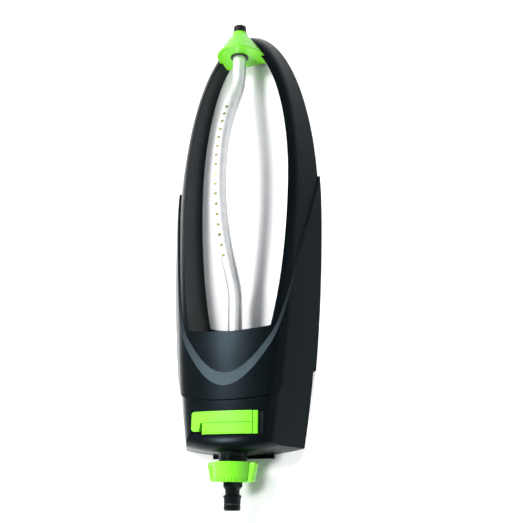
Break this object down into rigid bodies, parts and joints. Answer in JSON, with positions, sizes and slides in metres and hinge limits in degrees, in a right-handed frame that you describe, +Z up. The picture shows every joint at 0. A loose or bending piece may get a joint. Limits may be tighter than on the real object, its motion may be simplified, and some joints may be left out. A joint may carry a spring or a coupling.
{
  "type": "oscillating lawn sprinkler",
  "caption": "Oscillating lawn sprinkler: egg-shaped black frame, arched aluminium spray tube on a geared water motor, lime end cap, flow slider and hose coupling nut.",
  "frame": {"origin": "middle of the footprint, on the ground", "axes": "+Z up, +Y along the spray tube towards the end cap, -Y towards the hose, +X to the right seen from the hose end"},
  "size_m": [0.1642, 0.508, 0.067],
  "materials": {
    "shell_black": "fine moulded texture",
    "lime": "satin moulded",
    "tube_aluminium": "satin drawn",
    "gloss_black": "moulded",
    "bearing_plastic": "moulded acetal",
    "seal_rubber": "moulded",
    "gear_acetal": "moulded acetal",
    "motor_plastic": "moulded",
    "axle_steel": "ground",
    "screw_steel": "zinc plated",
    "jet_brass": "turned",
    "filter_mesh": "moulded"
  },
  "bodies": {
    "housing": {"frame": "shell_black", "jacket": "shell_black", "inlet_cover": "shell_black", "base_plate": "shell_black", "base_screws": "screw_steel", "cap_screws": "screw_steel", "end_cap": "lime", "cap_bush": "bearing_plastic", "wall_bush": "bearing_plastic", "motor_case": "motor_plastic", "motor_lid": "motor_plastic", "case_seal": "seal_rubber", "main_axle": "axle_steel", "lay_axle": "axle_steel", "inlet_stub": "bearing_plastic", "gate_gland": "seal_rubber", "inlet_filter": "filter_mesh", "hose_washer": "seal_rubber", "hose_nipple": "gloss_black", "nipple_seal": "seal_rubber"},
    "tube": {"spray_tube": "tube_aluminium", "nozzle_inserts": "jet_brass", "tube_tip": "bearing_plastic", "tube_hub": "bearing_plastic", "hub_seals": "seal_rubber", "output_gear": "gear_acetal"},
    "plug": {"cleanout_plug": "gloss_black", "plug_seal": "seal_rubber"},
    "gear_c": {"lay_gear_front": "gear_acetal"},
    "gear_b": {"main_gear": "gear_acetal"},
    "gear_a": {"lay_gear_rear": "gear_acetal"},
    "turbine": {"turbine": "gear_acetal"},
    "slider": {"flow_slider": "lime", "flow_gate": "gear_acetal"},
    "nut": {"coupling_nut": "lime"}
  },
  "joints": [
    {"name": "tube_swing", "type": "hinge", "parent": "housing", "child": "tube", "pos_m": [0, 0, 0.027], "axis": [0, 1, 0], "range_deg": [-45, 65]},
    {"name": "plug_turn", "type": "hinge", "parent": "tube", "child": "plug", "pos_m": [0, 0.245, 0.027], "axis": [0, 1, 0], "continuous": true},
    {"name": "gear_c_turn", "type": "hinge", "parent": "housing", "child": "gear_c", "pos_m": [0, -0.138, 0.017], "axis": [0, 1, 0], "range_deg": [-195, 135]},
    {"name": "gear_b_turn", "type": "hinge", "parent": "housing", "child": "gear_b", "pos_m": [0, -0.142, 0.027], "axis": [0, 1, 0], "range_deg": [-405, 585]},
    {"name": "gear_a_turn", "type": "hinge", "parent": "housing", "child": "gear_a", "pos_m": [0, -0.146, 0.017], "axis": [0, 1, 0], "range_deg": [-1755, 1215]},
    {"name": "turbine_turn", "type": "hinge", "parent": "housing", "child": "turbine", "pos_m": [0, -0.153, 0.027], "axis": [0, 1, 0], "range_deg": [-3645, 5265]},
    {"name": "flow_slide", "type": "slide", "parent": "housing", "child": "slider", "axis": [1, 0, 0], "range_m": [0, 0.005]},
    {"name": "nut_turn", "type": "hinge", "parent": "housing", "child": "nut", "pos_m": [0, -0.219, 0.027], "axis": [0, 1, 0], "continuous": true}
  ],
  "couplings": [
    {"joint": "gear_c_turn", "follows": "tube_swing", "ratio": -3},
    {"joint": "gear_b_turn", "follows": "tube_swing", "ratio": 9},
    {"joint": "gear_a_turn", "follows": "tube_swing", "ratio": -27},
    {"joint": "turbine_turn", "follows": "tube_swing", "ratio": 81}
  ]
}
